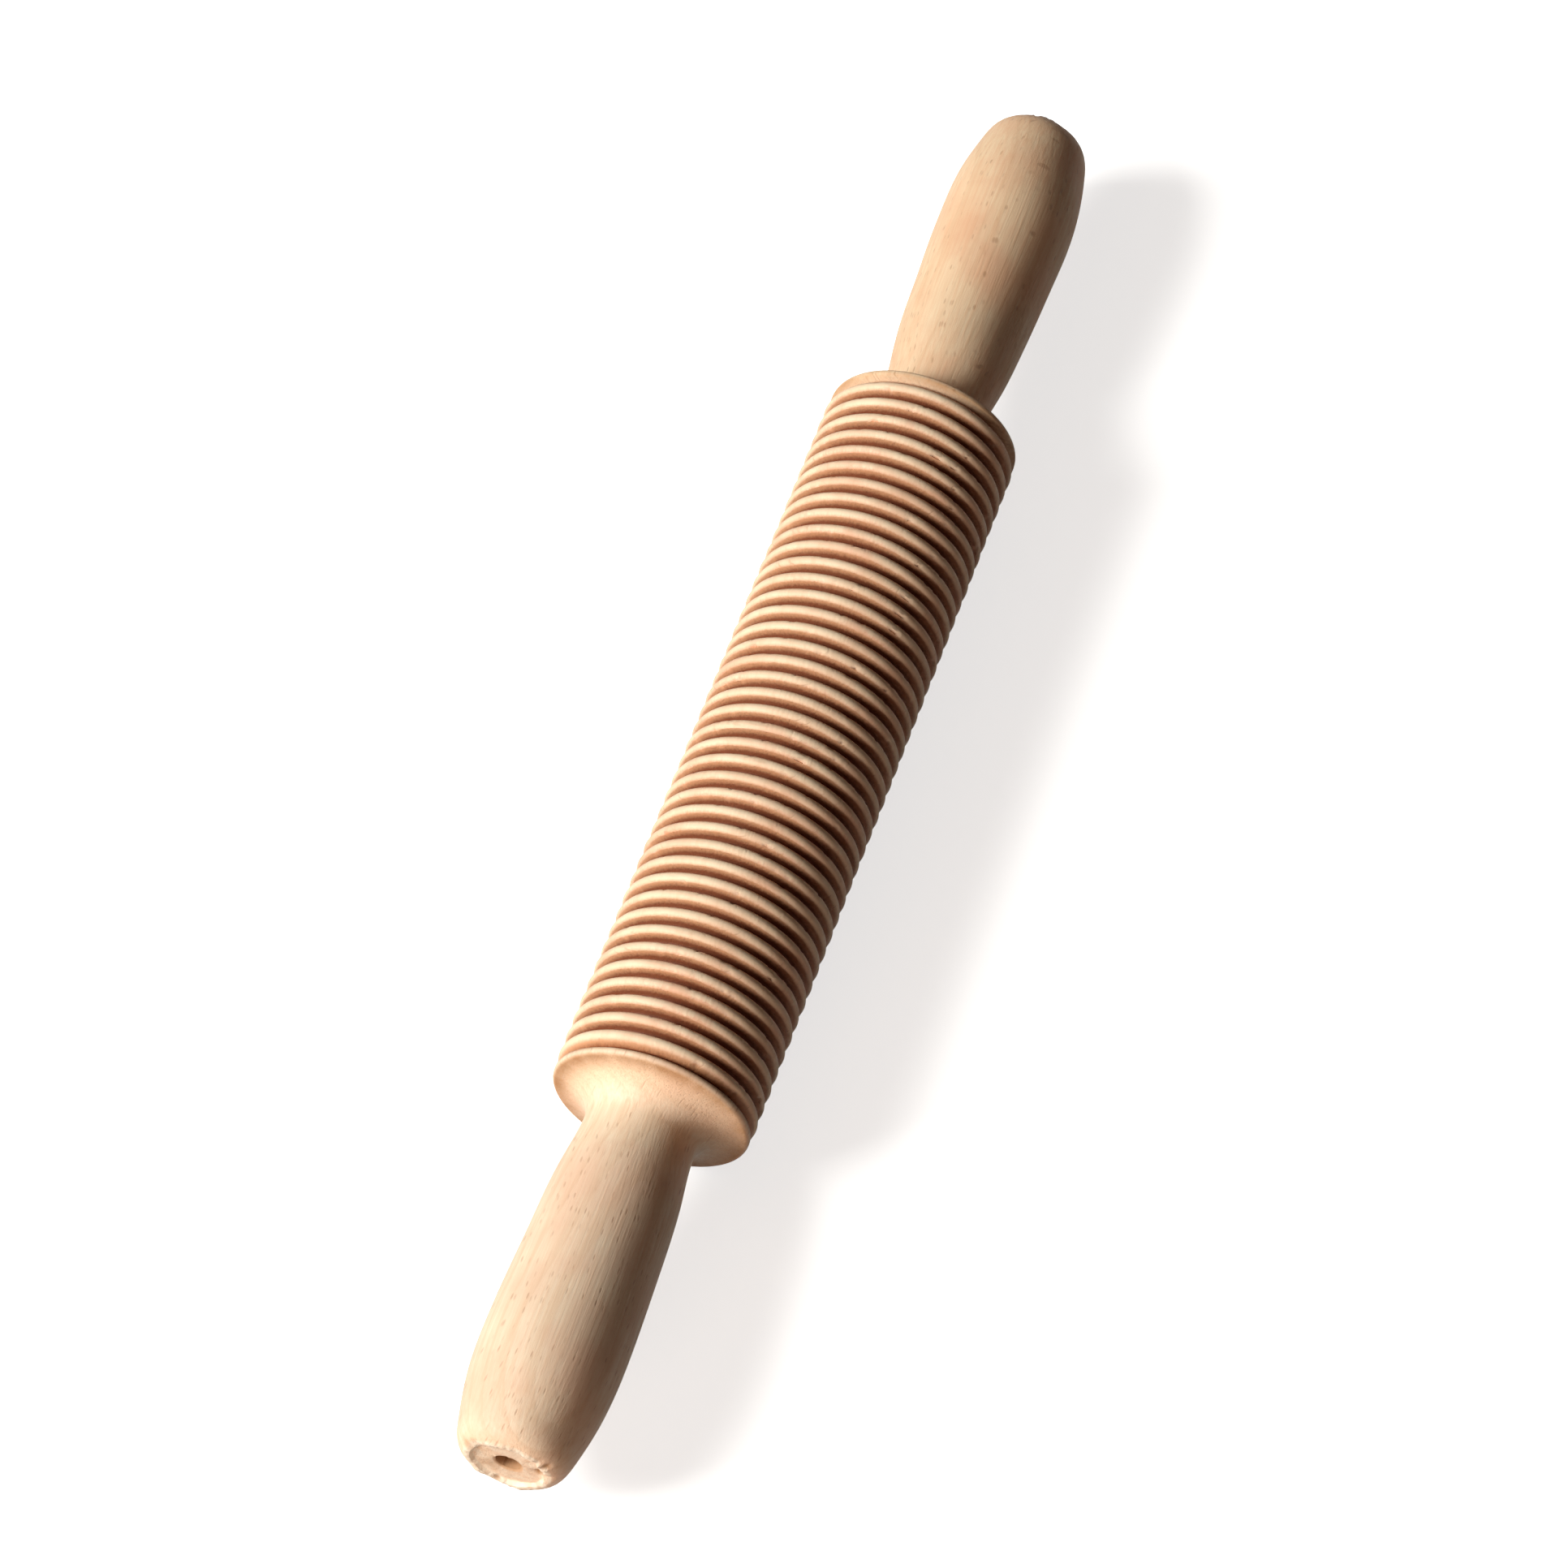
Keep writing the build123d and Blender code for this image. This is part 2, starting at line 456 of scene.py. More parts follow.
    def _relief(self, grain: Grain) -> Socket:
        """Raises the grain: fine ridges along it, sunk flecks and pores, and torn fibres on cut ends.

        Args:
            grain: What the nodes know of each point.

        Returns:
            The bumped normal.
        """
        tree = grain.tree
        tears = add_node(
            tree, "TexNoise", {"Vector": grain.at_mm, "Scale": self.tears_per_mm, "Detail": 3.0}
        )[0]
        on_ends = add_node(tree, "Math", {0: tears, 1: grain.end}, operation="MULTIPLY")[0]
        height = grain.fibre
        for part, amount in ((grain.fleck, -0.25), (grain.pore, -0.3), (on_ends, 0.7)):
            height = add_node(tree, "Math", {0: part, 1: amount, 2: height}, operation="MULTIPLY_ADD")[0]
        return add_node(
            tree,
            "Bump",
            {"Strength": self.relief_strength, "Distance": self.relief_mm * MM, "Height": height},
        )[0]


@dataclass(frozen=True)
class RibbedBeech(Beech):
    """Beech cut into ribs, with painted light: a painted highlight in patches along the crests, and browner,
    redder painted shade in the grooves.
    """

    crest_mm: float = 20.0
    root_mm: float = 17.2
    pale: str = "#F7D7B6"
    warm: str = "#EBB68F"
    rosy: str = "#E49A78"
    # The crest colour is a painted highlight; the two after it are painted shade, down the grooves' sides
    # and in their roots
    crest: str = "#FDE7C6"
    flank: str = "#D79667"
    groove: str = "#7A3616"
    blotch_mm: float = 12.0
    patch_mm: float = 7.0
    ragged_mm: float = 0.9

    def _colour(self, grain: Grain) -> Socket:
        """Paints shade into the grooves and a highlight onto the crests, by each point's distance from the
        pin's axis.

        Args:
            grain: What the nodes know of each point.

        Returns:
            The ribbed wood's colour.
        """
        tree = grain.tree
        colour = super()._colour(grain)
        from_axis = add_node(
            tree, "VectorMath", {0: grain.at_mm, 1: (0.0, 1.0, 1.0)}, operation="MULTIPLY"
        )[0]
        radius = add_node(tree, "VectorMath", {0: from_axis}, operation="LENGTH")["Value"]
        ragged = add_node(
            tree, "Math", {0: grain.fibre, 1: self.ragged_mm, 2: radius}, operation="MULTIPLY_ADD"
        )[0]
        patch = add_node(
            tree, "TexNoise", {"Vector": grain.at_mm, "Scale": 1 / self.patch_mm, "Detail": 3.0}
        )[0]
        # How strong the painted highlight on the crests is: between the patches, two fifths as much as in
        # them
        painted_highlight_share = add_node(
            tree,
            "MapRange",
            {"Value": patch, "From Min": 0.4, "From Max": 0.6, "To Min": 0.4 * 0.8, "To Max": 0.8},
        )[0]
        depth = self.crest_mm - self.root_mm
        # From and to which radius each colour comes in, and how strongly: painted shade down the grooves'
        # sides, darker painted shade in their roots, and a painted highlight along the crests
        bands: list[tuple[float, float, float | Socket, str]] = [
            (self.crest_mm + 0.2, self.crest_mm - 0.18 * depth, 0.82, self.flank),
            (self.crest_mm - 0.14 * depth, self.root_mm + 1.2, 0.88, self.groove),
            (self.crest_mm, self.crest_mm + 0.45, painted_highlight_share, self.crest),
        ]
        for start, stop, most, tint in bands:
            share = add_node(
                tree,
                "MapRange",
                {"Value": ragged, "From Min": start, "From Max": stop, "To Max": most},
                interpolation_type="SMOOTHSTEP",
            )[0]
            colour = add_node(
                tree, "Mix", {MIX_FACTOR: share, MIX_A: colour, MIX_B: linear(tint)}, data_type="RGBA"
            )[MIX_RESULT]
        return colour


@dataclass(frozen=True)
class Made(Finish):
    """A made material: even, but for one fine grain that tints it, dulls it and raises it a little."""

    colour: str
    shade: str
    roughness: tuple[float, float]
    # How long, wide and deep the grain's marks are
    grain_mm: tuple[float, float, float]
    grain_detail: float
    relief_mm: float
    relief_strength: float

    def _surface(self, tree: Tree) -> Socket:
        """Draws the fine grain, and works out the colour, roughness and relief from it.

        Args:
            tree: The material's node tree.

        Returns:
            The made material's surface.
        """
        place = add_node(tree, "TexCoord")["Object"]
        per_metre = tuple(1 / (size * MM) for size in self.grain_mm)
        cells = add_node(tree, "VectorMath", {0: place, 1: per_metre}, operation="MULTIPLY")[0]
        grain = add_node(tree, "TexNoise", {"Vector": cells, "Scale": 1.0, "Detail": self.grain_detail})[0]
        tint = add_node(
            tree,
            "Mix",
            {MIX_FACTOR: grain, MIX_A: linear(self.colour), MIX_B: linear(self.shade)},
            data_type="RGBA",
        )[MIX_RESULT]
        smoothest, roughest = self.roughness
        rough = add_node(tree, "MapRange", {"Value": grain, "To Min": smoothest, "To Max": roughest})[0]
        bump = add_node(
            tree,
            "Bump",
            {"Strength": self.relief_strength, "Distance": self.relief_mm * MM, "Height": grain},
        )[0]
        return add_node(
            tree,
            "BsdfPrincipled",
            {"Base Color": tint, "Roughness": rough, "Normal": bump, **self._body()},
        )[0]

    def _body(self) -> dict[str, float]:
        """Tells the shader what lies under the surface."""
        raise NotImplementedError


@dataclass(frozen=True)
class Steel(Made):
    """Drawn or pressed steel: grey, with fine scratches along X that stretch its highlights."""

    colour: str = "#C9C8C6"
    shade: str = "#A9A7A3"
    roughness: tuple[float, float] = (0.22, 0.38)
    # Real drawing marks are far under 0.1 mm across; they are drawn coarse so that they show
    grain_mm: tuple[float, float, float] = (9.0, 0.12, 0.12)
    grain_detail: float = 3.0
    relief_mm: float = 0.02
    relief_strength: float = 0.2

    def _body(self) -> dict[str, float]:
        """Makes it a metal."""
        return {"Metallic": 1.0}


@dataclass(frozen=True)
class Nylon(Made):
    """Moulded natural nylon: milky, waxy and slightly see-through, with a faint mould grain."""

    colour: str = "#E9E5D8"
    shade: str = "#DCD6C4"
    roughness: tuple[float, float] = (0.34, 0.46)
    grain_mm: tuple[float, float, float] = (0.5, 0.5, 0.5)
    grain_detail: float = 2.0
    relief_mm: float = 0.03
    relief_strength: float = 0.25
    ior: float = 1.53
    glow: float = 0.25
    glow_mm: float = 1.2

    def _body(self) -> dict[str, float]:
        """Lets light a little way in."""
        return {"IOR": self.ior, "Subsurface Weight": self.glow, "Subsurface Scale": self.glow_mm * MM}


@dataclass(frozen=True)
class PaleFloor(Finish):
    """A matt white sweep: white to the eye and in reflections, and browner for the light it sends back."""

    name: str = "white_matt_sweep"
    seen: str = "#FBFBFA"
    sends_back: str = "#524235"
    glow: float = 0.72

    def _surface(self, tree: Tree) -> Socket:
        """Tells what looks at the floor from the light that it sends back.

        Args:
            tree: The material's node tree.

        Returns:
            The floor's surface.
        """
        ray = add_node(tree, "LightPath")
        looked_at = add_node(
            tree, "Math", {0: ray["Is Camera Ray"], 1: ray["Is Glossy Ray"]}, operation="MAXIMUM"
        )[0]
        bounce = add_node(tree, "BsdfDiffuse", {"Color": linear(self.sends_back)})
        white = add_node(tree, "BsdfDiffuse", {"Color": linear(self.seen)})
        glow = add_node(tree, "Emission", {"Color": WHITE, "Strength": self.glow})
        bright = add_node(tree, "AddShader", {0: white[0], 1: glow[0]})
        return add_node(tree, "MixShader", {0: looked_at, 1: bounce[0], 2: bright[0]})[0]


def ring_noise(rng: np.random.Generator, knots: int, around: int) -> np.ndarray:
    """Makes a smooth closed run of random heights.

    Args:
        rng: The seeded source of the heights.
        knots: How many random heights there are round the ring.
        around: How many points the ring has.

    Returns:
        One height for each point, from -1 to 1.
    """
    heights = rng.uniform(-1, 1, knots)
    place = np.arange(around) * knots / around
    left = place.astype(int)
    share = place - left
    share = share * share * (3 - 2 * share)
    return heights[left % knots] * (1 - share) + heights[(left + 1) % knots] * share


def turned_mesh(
    name: str,
    along: np.ndarray,
    out: np.ndarray,
    closed: bool,
    sharp_degrees: float,
    marks: dict[str, np.ndarray],
) -> bpy.types.Object:
    """Makes a turned piece from rings of points round the X axis.

    Args:
        name: The object's name.
        along: X of every point, one row for each ring, in metres.
        out: Distance from the axis of every point, one row for each ring, in metres.
        closed: True where the last ring joins the first, and False where the first and last rings
            close to a point on the axis.
        sharp_degrees: Edges that turn by more than this are left sharp.
        marks: A value from 0 to 1 for every point, by the name of the mark that the finish reads.

    Returns:
        The new object, linked to the scene.
    """
    rings, around = along.shape
    angle = np.arange(around) * 2 * math.pi / around
    points = np.stack([along, out * np.cos(angle), out * np.sin(angle)], -1).reshape(-1, 3)
    here = np.arange(rings * around).reshape(rings, around)
    first = here if closed else here[:-1]
    second = np.roll(here, -1, axis=0) if closed else here[1:]
    quads = np.stack(
        [first, np.roll(first, -1, axis=1), np.roll(second, -1, axis=1), second], -1
    ).reshape(-1, 4)
    faces = quads.tolist()
    vertices = points.tolist()
    if not closed:
        for row, order in ((here[0], 1), (here[-1], -1)):
            tip = len(vertices)
            vertices.append([float(points[row, 0].mean()), 0.0, 0.0])
            faces += [[tip, int(b), int(a)][::order] for a, b in zip(row, np.roll(row, -1))]
    mesh = bpy.data.meshes.new(name)
    mesh.from_pydata(vertices, [], faces)
    for mark, values in marks.items():
        layer = mesh.attributes.new(mark, "FLOAT", "POINT")
        flat = np.zeros(len(vertices), dtype=np.float32)
        flat[: rings * around] = values.ravel()
        layer.data.foreach_set("value", flat)
    mesh.shade_smooth()
    mesh.set_sharp_from_angle(angle=math.radians(sharp_degrees))
    mesh.update()
    piece = bpy.data.objects.new(name, mesh)
    bpy.context.scene.collection.objects.link(piece)
    return piece


@dataclass
class Roller:
    """The ribbed roller, its ribs turned one by one with uneven crests and small torn chips.

    The fields named for knots say how many random heights lie round a ring.
    """

    finish: RibbedBeech
    length_mm: float = 160.0
    crest_radius_mm: float = 20.0
    rib_count: int = 40
    crest_width_mm: float = 1.9
    crown_mm: float = 0.4
    crown_shares: tuple[float, ...] = (-0.6, 0.0, 0.6)
    groove_depth_mm: float = 2.8
    shoulder_share: float = 0.14
    root_radius_mm: float = 0.55
    root_points: int = 5
    bevel_mm: float = 1.6
    recess_radius_mm: float = 10.0
    recess_depth_mm: float = 4.0
    seat_radius_mm: float = 7.05
    seat_depth_mm: float = 17.0
    bore_radius_mm: float = 5.0
    around: int = 200
    sharp_degrees: float = 50.0
    seed: int = 11
    wander_mm: float = 0.045
    lift_knots: int = 9
    lean_knots: int = 7
    # How far the deepest chip lowers a crest's edge, and how far it moves the edge inwards
    chip_down_mm: float = 0.56
    chip_in_mm: float = 0.28
    chip_knots: int = 96
    chip_from: float = 0.72
    # How strong the painted shade in the crease at the roller's two ends is, how much patches vary it, and
    # their knots round the ring
    seam_shade: float = 0.4
    seam_patches: float = 0.25
    seam_knots: int = 60
    pitch_mm: float = field(init=False)

    def __post_init__(self) -> None:
        """Works out the pitch from the roller's length."""
        self.pitch_mm = self.length_mm / self.rib_count

    def _groove_rings(self, centre: float) -> list[tuple[float, float, Zone]]:
        """Lists one groove's rings from left to right, without the crest edges beside it.

        Args:
            centre: X of the groove's middle, in millimetres.

        Returns:
            X, radius and zone of each ring.
        """
        half = (self.pitch_mm - self.crest_width_mm) / 2
        edge = self.crest_radius_mm - self.crown_mm
        middle = self.crest_radius_mm - self.groove_depth_mm + self.root_radius_mm
        reach = math.hypot(half, edge - middle)
        start = math.atan2(edge - middle, half) - math.acos(self.root_radius_mm / reach)
        turns = np.linspace(math.pi - start, 2 * math.pi + start, self.root_points)
        bend = self.root_radius_mm
        root = [(centre + bend * math.cos(t), middle + bend * math.sin(t), Zone.ROOT) for t in turns]
        first_x, first_radius, _ = root[0]
        shoulder = centre - half + self.shoulder_share * (first_x - centre + half)
        height = edge + self.shoulder_share * (first_radius - edge)
        return [(shoulder, height, Zone.FLANK), *root, (2 * centre - shoulder, height, Zone.FLANK)]

    def _outline(self) -> list[tuple[float, float, Zone, int]]:
        """Lists every ring of the roller: the ribs from left to right, then the bore and seats back again.

        Returns:
            X, radius, zone and rib number of each ring.
        """
        half_length = self.length_mm / 2
        edge = self.crest_radius_mm - self.crown_mm
        half = self.crest_width_mm / 2
        last = self.rib_count - 1
        rings = [(-half_length, self.crest_radius_mm - self.bevel_mm, Zone.FLANK, 0)]
        for rib in range(self.rib_count):
            centre = (rib + 0.5) * self.pitch_mm - half_length
            rings.append((centre - half, edge, Zone.CREST_LEFT, rib))
            for share in self.crown_shares:
                height = edge + self.crown_mm * (1 - share * share)
                rings.append((centre + share * half, height, Zone.CREST, rib))
            rings.append((centre + half, edge, Zone.CREST_RIGHT, rib))
            if rib < last:
                rings += [(*ring, rib) for ring in self._groove_rings(centre + self.pitch_mm / 2)]
        rings.append((half_length, self.crest_radius_mm - self.bevel_mm, Zone.FLANK, last))
        inside = [
            (half_length, self.recess_radius_mm),
            (half_length - self.recess_depth_mm, self.recess_radius_mm),
            (half_length - self.recess_depth_mm, self.seat_radius_mm),
            (half_length - self.seat_depth_mm, self.seat_radius_mm),
            (half_length - self.seat_depth_mm, self.bore_radius_mm),
        ]
        rings += [(x, r, Zone.INSIDE, last) for x, r in inside]
        rings += [(-x, r, Zone.INSIDE, 0) for x, r in reversed(inside)]
        return rings

    def _edge_chips(self, rng: np.random.Generator) -> dict[Zone, np.ndarray]:
        """Draws the torn chips along the two edges of one rib's crest.

        Args:
            rng: The seeded source of the chips.

        Returns:
            The chips' depth round each edge, from 0 to 1.
        """
        depth = {edge: ring_noise(rng, self.chip_knots, self.around) for edge in CREST_EDGES}
        return {
            edge: np.clip(noise - self.chip_from, 0, None) / (1 - self.chip_from)
            for edge, noise in depth.items()
        }

    def build(self) -> None:
        """Turns the roller, dresses it and puts it on the roller's body."""
        rng = np.random.default_rng(self.seed)
        ribs = range(self.rib_count)
        lift = [self.wander_mm * ring_noise(rng, self.lift_knots, self.around) for _ in ribs]
        lean = [self.wander_mm * ring_noise(rng, self.lean_knots, self.around) for _ in ribs]
        chips = [self._edge_chips(rng) for _ in ribs]
        along, out, torn, stain_and_shade = [], [], [], []
        for x, radius, zone, rib in self._outline():
            worn = np.zeros(self.around)
            painted_seam_shade = np.zeros(self.around)
            xs = np.full(self.around, x)
            radii = np.full(self.around, radius)
            # The rings at the roller's two ends get painted shade, in patches, in the crease beside the
            # handles' collars
            if zone is Zone.FLANK and abs(x) >= self.length_mm / 2:
                patches = self.seam_patches * ring_noise(rng, self.seam_knots, self.around)
                painted_seam_shade = self.seam_shade + patches
            if zone is Zone.CREST or zone in CREST_EDGES:
                radii += lift[rib]
                xs += lean[rib]
            if zone in CREST_EDGES:
                worn = chips[rib][zone]
                radii -= self.chip_down_mm * worn
                xs += CREST_EDGES[zone] * self.chip_in_mm * worn
            if zone in ROUGH_CUTS:
                share, knots = ROUGH_CUTS[zone]
                radii += share * self.wander_mm * ring_noise(rng, knots, self.around)
            along.append(xs)
            out.append(radii)
            torn.append(worn)
            stain_and_shade.append(painted_seam_shade)
        piece = turned_mesh(
            "ribbed_roller",
            np.array(along) * MM,
            np.array(out) * MM,
            True,
            self.sharp_degrees,
            {"torn": np.array(torn), "stain_and_shade": np.array(stain_and_shade)},
        )
        piece.data.materials.append(self.finish.material())
        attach(piece, "roller")
        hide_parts("cutting_barrel")
        log.info("%s: %d ribs, %d faces", piece.name, self.rib_count, len(piece.data.polygons))


@dataclass(frozen=True)
class Chip:
    """One brown chip or smudge in a sawn end.

    Its place is in degrees round the end, from +Y towards +Z, and in millimetres from the end's middle.
    """

    degrees: float
    from_middle_mm: float
    width_mm: float
    depth_mm: float
    brown: float


@dataclass(frozen=True)
class Starts:
    """The number of the ring where each form of a handle starts, from the collar to the centre hole."""

    collar: int
    cove: int
    rim: int
    face: int
    hole: int


@dataclass
class Handle:
    """One turned handle: collar, cove, slim neck, swelling grip, and a sawn end with a ragged rim."""

    end: End
    finish: Beech
    seed: int
    start_mm: float = 80.3
    stop_mm: float = 160.0
    seam_radius_mm: float = 18.4
    collar_radius_mm: float = 19.7
    collar_bevel_mm: float = 0.8
    collar_land_mm: float = 0.4
    collar_edge_mm: float = 0.9
    edge_points: int = 7
    cove_mm: float = 6.0
    cove_points: int = 18
    neck_radius_mm: float = 11.0
    grip_radius_mm: float = 13.7
    end_radius_mm: float = 8.4
    end_edge_mm: float = 1.1
    # Where along the handle the grip's curve passes, and how wide it is there
    grip_shares: tuple[tuple[float, float], ...] = (
        (0.22, 0.875), (0.42, 0.953), (0.64, 1.0), (0.82, 0.957), (0.925, 0.845),
    )
    grip_step_mm: float = 0.8
    # How far the small edges are eased
    ease_mm: float = 0.1
    rim_width_mm: float = 1.6
    dish_mm: float = 0.8
    dish_edge_mm: float = 0.3
    dish_shares: tuple[float, ...] = (0.86, 0.72, 0.52)
    hole_radius_mm: float = 2.5
    hole_depth_mm: float = 7.0
    hole_mouth_mm: float = 0.35
    rod_radius_mm: float = 4.0
    rod_hole_depth_mm: float = 50.0
    drill_degrees: float = 118.0
    around: int = 192
    sharp_degrees: float = 40.0
    wander_mm: float = 0.07
    # Knots round the handle, and length along it in millimetres, of each wave of its unevenness
    waves: tuple[tuple[int, float], ...] = ((3, 61.0), (5, 37.0), (8, 19.0))
    true_mm: float = 4.0
    fade_mm: float = 10.0
    # Height in millimetres and knots round the rim, of its coarse and its fine tears
    rim_tears: tuple[tuple[float, int], ...] = ((0.26, 17), (0.12, 71))
    rim_shares: tuple[float, ...] = (0.3, 1.0, 1.0, 0.8)
    rim_worn_mm: float = 0.12
    # How deep the fibres have broken out of the rim, and where round it
    gap_mm: float = 1.1
    gap_knots: int = 26
    gap_from: float = 0.5
    face_rough_mm: float = 0.07
    hole_rough_mm: float = 0.16
    # How much painted shade each ring gets, from the seam over the collar's edge to the outer part of the
    # cove
    collar_shade_shares: tuple[float, ...] = (
        0.5, 0.45, 0.1, 0.04, 0.08, 0.28, 0.48, 0.6, 0.62, 0.54, 0.4, 0.27, 0.15, 0.06,
    )
    # How strong the painted shade's coarse and its fine patches are, and their knots round the collar
    collar_shade_patches: tuple[tuple[float, int], ...] = ((0.35, 21), (0.2, 70))
    # How brown each ring is, from the centre hole's mouth to its tip: the lathe centre's burn, with painted
    # shade that darkens it deeper in
    hole_burn_and_shade: tuple[float, ...] = (0.3, 0.5, 0.75, 0.9, 1.0, 1.0)
    chips: tuple[Chip, ...] = ()

    def _grip_curve(self, first: tuple[float, float], last: tuple[float, float]) -> np.ndarray:
        """Runs a smooth curve through the grip's points, level at the neck and at 45 degrees at the end.

        Args:
            first: X and radius where the cove ends.
            last: X and radius where the end's rounding starts.

        Returns:
            X and radius of points along the curve, one row each, the two ends left out.
        """
        length = self.stop_mm - self.start_mm
        middle = [(self.start_mm + a * length, r * self.grip_radius_mm) for a, r in self.grip_shares]
        points = np.array([first, *middle, last])
        steps = np.linalg.norm(np.diff(points, axis=0), axis=1)
        count = len(points)
        system = np.zeros((count, count))
        right = np.zeros((count, 2))
        system[0, 0] = system[-1, -1] = 1
        right[0] = (1, 0)
        right[-1] = (math.sqrt(0.5), -math.sqrt(0.5))
        for i in range(1, count - 1):
            before, after = steps[i - 1], steps[i]
            system[i, i - 1 : i + 2] = (after, 2 * (before + after), before)
            rise_before, rise_after = points[i] - points[i - 1], points[i + 1] - points[i]
            right[i] = 3 * (after * rise_before / before + before * rise_after / after)
        slopes = np.linalg.solve(system, right)
        curve = []
        for i, step in enumerate(steps):
            for s in np.linspace(0, 1, max(2, int(step / self.grip_step_mm)), endpoint=False):
                curve.append(
                    (1 + 2 * s) * (1 - s) ** 2 * points[i]
                    + s * (1 - s) ** 2 * step * slopes[i]
                    + s * s * (3 - 2 * s) * points[i + 1]
                    + s * s * (s - 1) * step * slopes[i + 1]
                )
        return np.array(curve[1:])

    def _outline(self) -> tuple[np.ndarray, Starts]:
        """Draws the handle's half section, from the rod hole's tip round the outside to the centre hole's.

        Returns:
            X and radius of each ring, and where each form starts.
        """
        slope = math.tan(math.radians(self.drill_degrees / 2))
        rod_end = self.start_mm + self.rod_hole_depth_mm
        bevel_end = self.start_mm + self.collar_bevel_mm
        land_end = bevel_end + self.collar_land_mm
        cove_start = land_end + self.collar_edge_mm
        cove_top = self.collar_radius_mm - self.collar_edge_mm
        cove_end = cove_start + self.cove_mm
        cove_depth = cove_top - self.neck_radius_mm
        rings: list[tuple[float, float]] = [
            (rod_end + 0.9 * self.rod_radius_mm / slope, 0.1 * self.rod_radius_mm),
            (rod_end, self.rod_radius_mm),
            (self.start_mm, self.rod_radius_mm),
            (self.start_mm, 0.6 * self.seam_radius_mm),
            (self.start_mm, self.seam_radius_mm - self.ease_mm),
            (self.start_mm + 0.5 * self.ease_mm, self.seam_radius_mm),
        ]
        collar = len(rings)
        rings += [
            (bevel_end - self.ease_mm, self.collar_radius_mm - self.ease_mm),
            (bevel_end + self.ease_mm, self.collar_radius_mm),
        ]
        for t in np.linspace(math.pi / 2, 0, self.edge_points):
            x = land_end + self.collar_edge_mm * math.cos(t)
            rings.append((x, cove_top + self.collar_edge_mm * math.sin(t)))
        cove = len(rings)
        for t in np.linspace(math.pi, 1.5 * math.pi, self.cove_points)[1:]:
            rings.append((cove_end + self.cove_mm * math.cos(t), cove_top + cove_depth * math.sin(t)))
        grip_end = (self.stop_mm - self.end_edge_mm, self.end_radius_mm + self.end_edge_mm)
        rings += [tuple(p) for p in self._grip_curve((cove_end, self.neck_radius_mm), grip_end)]
        rings.append(grip_end)
        rim = len(rings)
        rings += [
            (self.stop_mm - 0.45 * self.end_edge_mm, self.end_radius_mm + 0.4 * self.end_edge_mm),
            (self.stop_mm - self.ease_mm, self.end_radius_mm),
            (self.stop_mm, self.end_radius_mm - 0.35 * self.rim_width_mm),
            (self.stop_mm - self.ease_mm, self.end_radius_mm - 0.7 * self.rim_width_mm),
        ]
        face = len(rings)
        inner = self.end_radius_mm - self.rim_width_mm
        floor = self.stop_mm - self.dish_mm
        rings += [(floor + self.ease_mm, inner), (floor, inner - self.dish_edge_mm)]
        rings += [(floor, share * inner) for share in self.dish_shares]
        hole = len(rings)
        mouth = self.hole_radius_mm + self.hole_mouth_mm
        hole_end = self.stop_mm - self.hole_depth_mm
        rings += [
            (floor, mouth + 2 * self.ease_mm),
            (floor - self.ease_mm, mouth),
            (floor - self.hole_mouth_mm, self.hole_radius_mm),
            (0.5 * (floor + hole_end), self.hole_radius_mm - self.ease_mm),
            (hole_end, self.hole_radius_mm - 2 * self.ease_mm),
            (hole_end - 0.9 * self.hole_radius_mm / slope, 0.1 * self.hole_radius_mm),
        ]
        return np.array(rings), Starts(collar, cove, rim, face, hole)

    def build(self) -> None:
        """Turns the handle, dresses it and puts it on the frame's body."""
        rng = np.random.default_rng(self.seed)
        rings, starts = self._outline()
        along = np.repeat(rings[:, :1], self.around, axis=1)
        out = np.repeat(rings[:, 1:], self.around, axis=1)
        self._wander(rng, along, out, starts)
        torn = self._tear_rim(rng, along, out, starts)
        stain_and_shade = self._chip(along, out, starts)
        self._paint_collar_shade(rng, stain_and_shade, starts)
        piece = turned_mesh(
            f"turned_handle_{self.end.word}",
            self.end.value * along * MM,
            out * MM,
            False,
            self.sharp_degrees,
            {"torn": torn, "stain_and_shade": stain_and_shade},
        )
        if self.end is End.RIGHT:
            piece.data.flip_normals()
        piece.data.materials.append(self.finish.material())
        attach(piece, "frame")
        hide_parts(f"handle_{self.end.word}")
        log.info("%s: %d faces", piece.name, len(piece.data.polygons))

    def _wander(
        self, rng: np.random.Generator, along: np.ndarray, out: np.ndarray, starts: Starts
    ) -> None:
        """Makes the outside a hair out of round, as hand sanding leaves it.

        Args:
            rng: The seeded source of the unevenness.
            along: X of every point, in millimetres.
            out: Distance from the axis of every point, in millimetres, which this changes.
            starts: The ring where each form starts.
        """
        heights = [ring_noise(rng, knots, self.around) for knots, _ in self.waves]
        phases = rng.uniform(0, 2 * math.pi, len(self.waves))
        for ring in range(starts.cove, starts.rim):
            x = along[ring, 0]
            fade = min(1.0, max(0.0, (x - self.start_mm - self.true_mm) / self.fade_mm))
            for height, phase, (_, length) in zip(heights, phases, self.waves):
                swing = math.sin(phase + 2 * math.pi * x / length)
                out[ring] += self.wander_mm * fade * height * swing

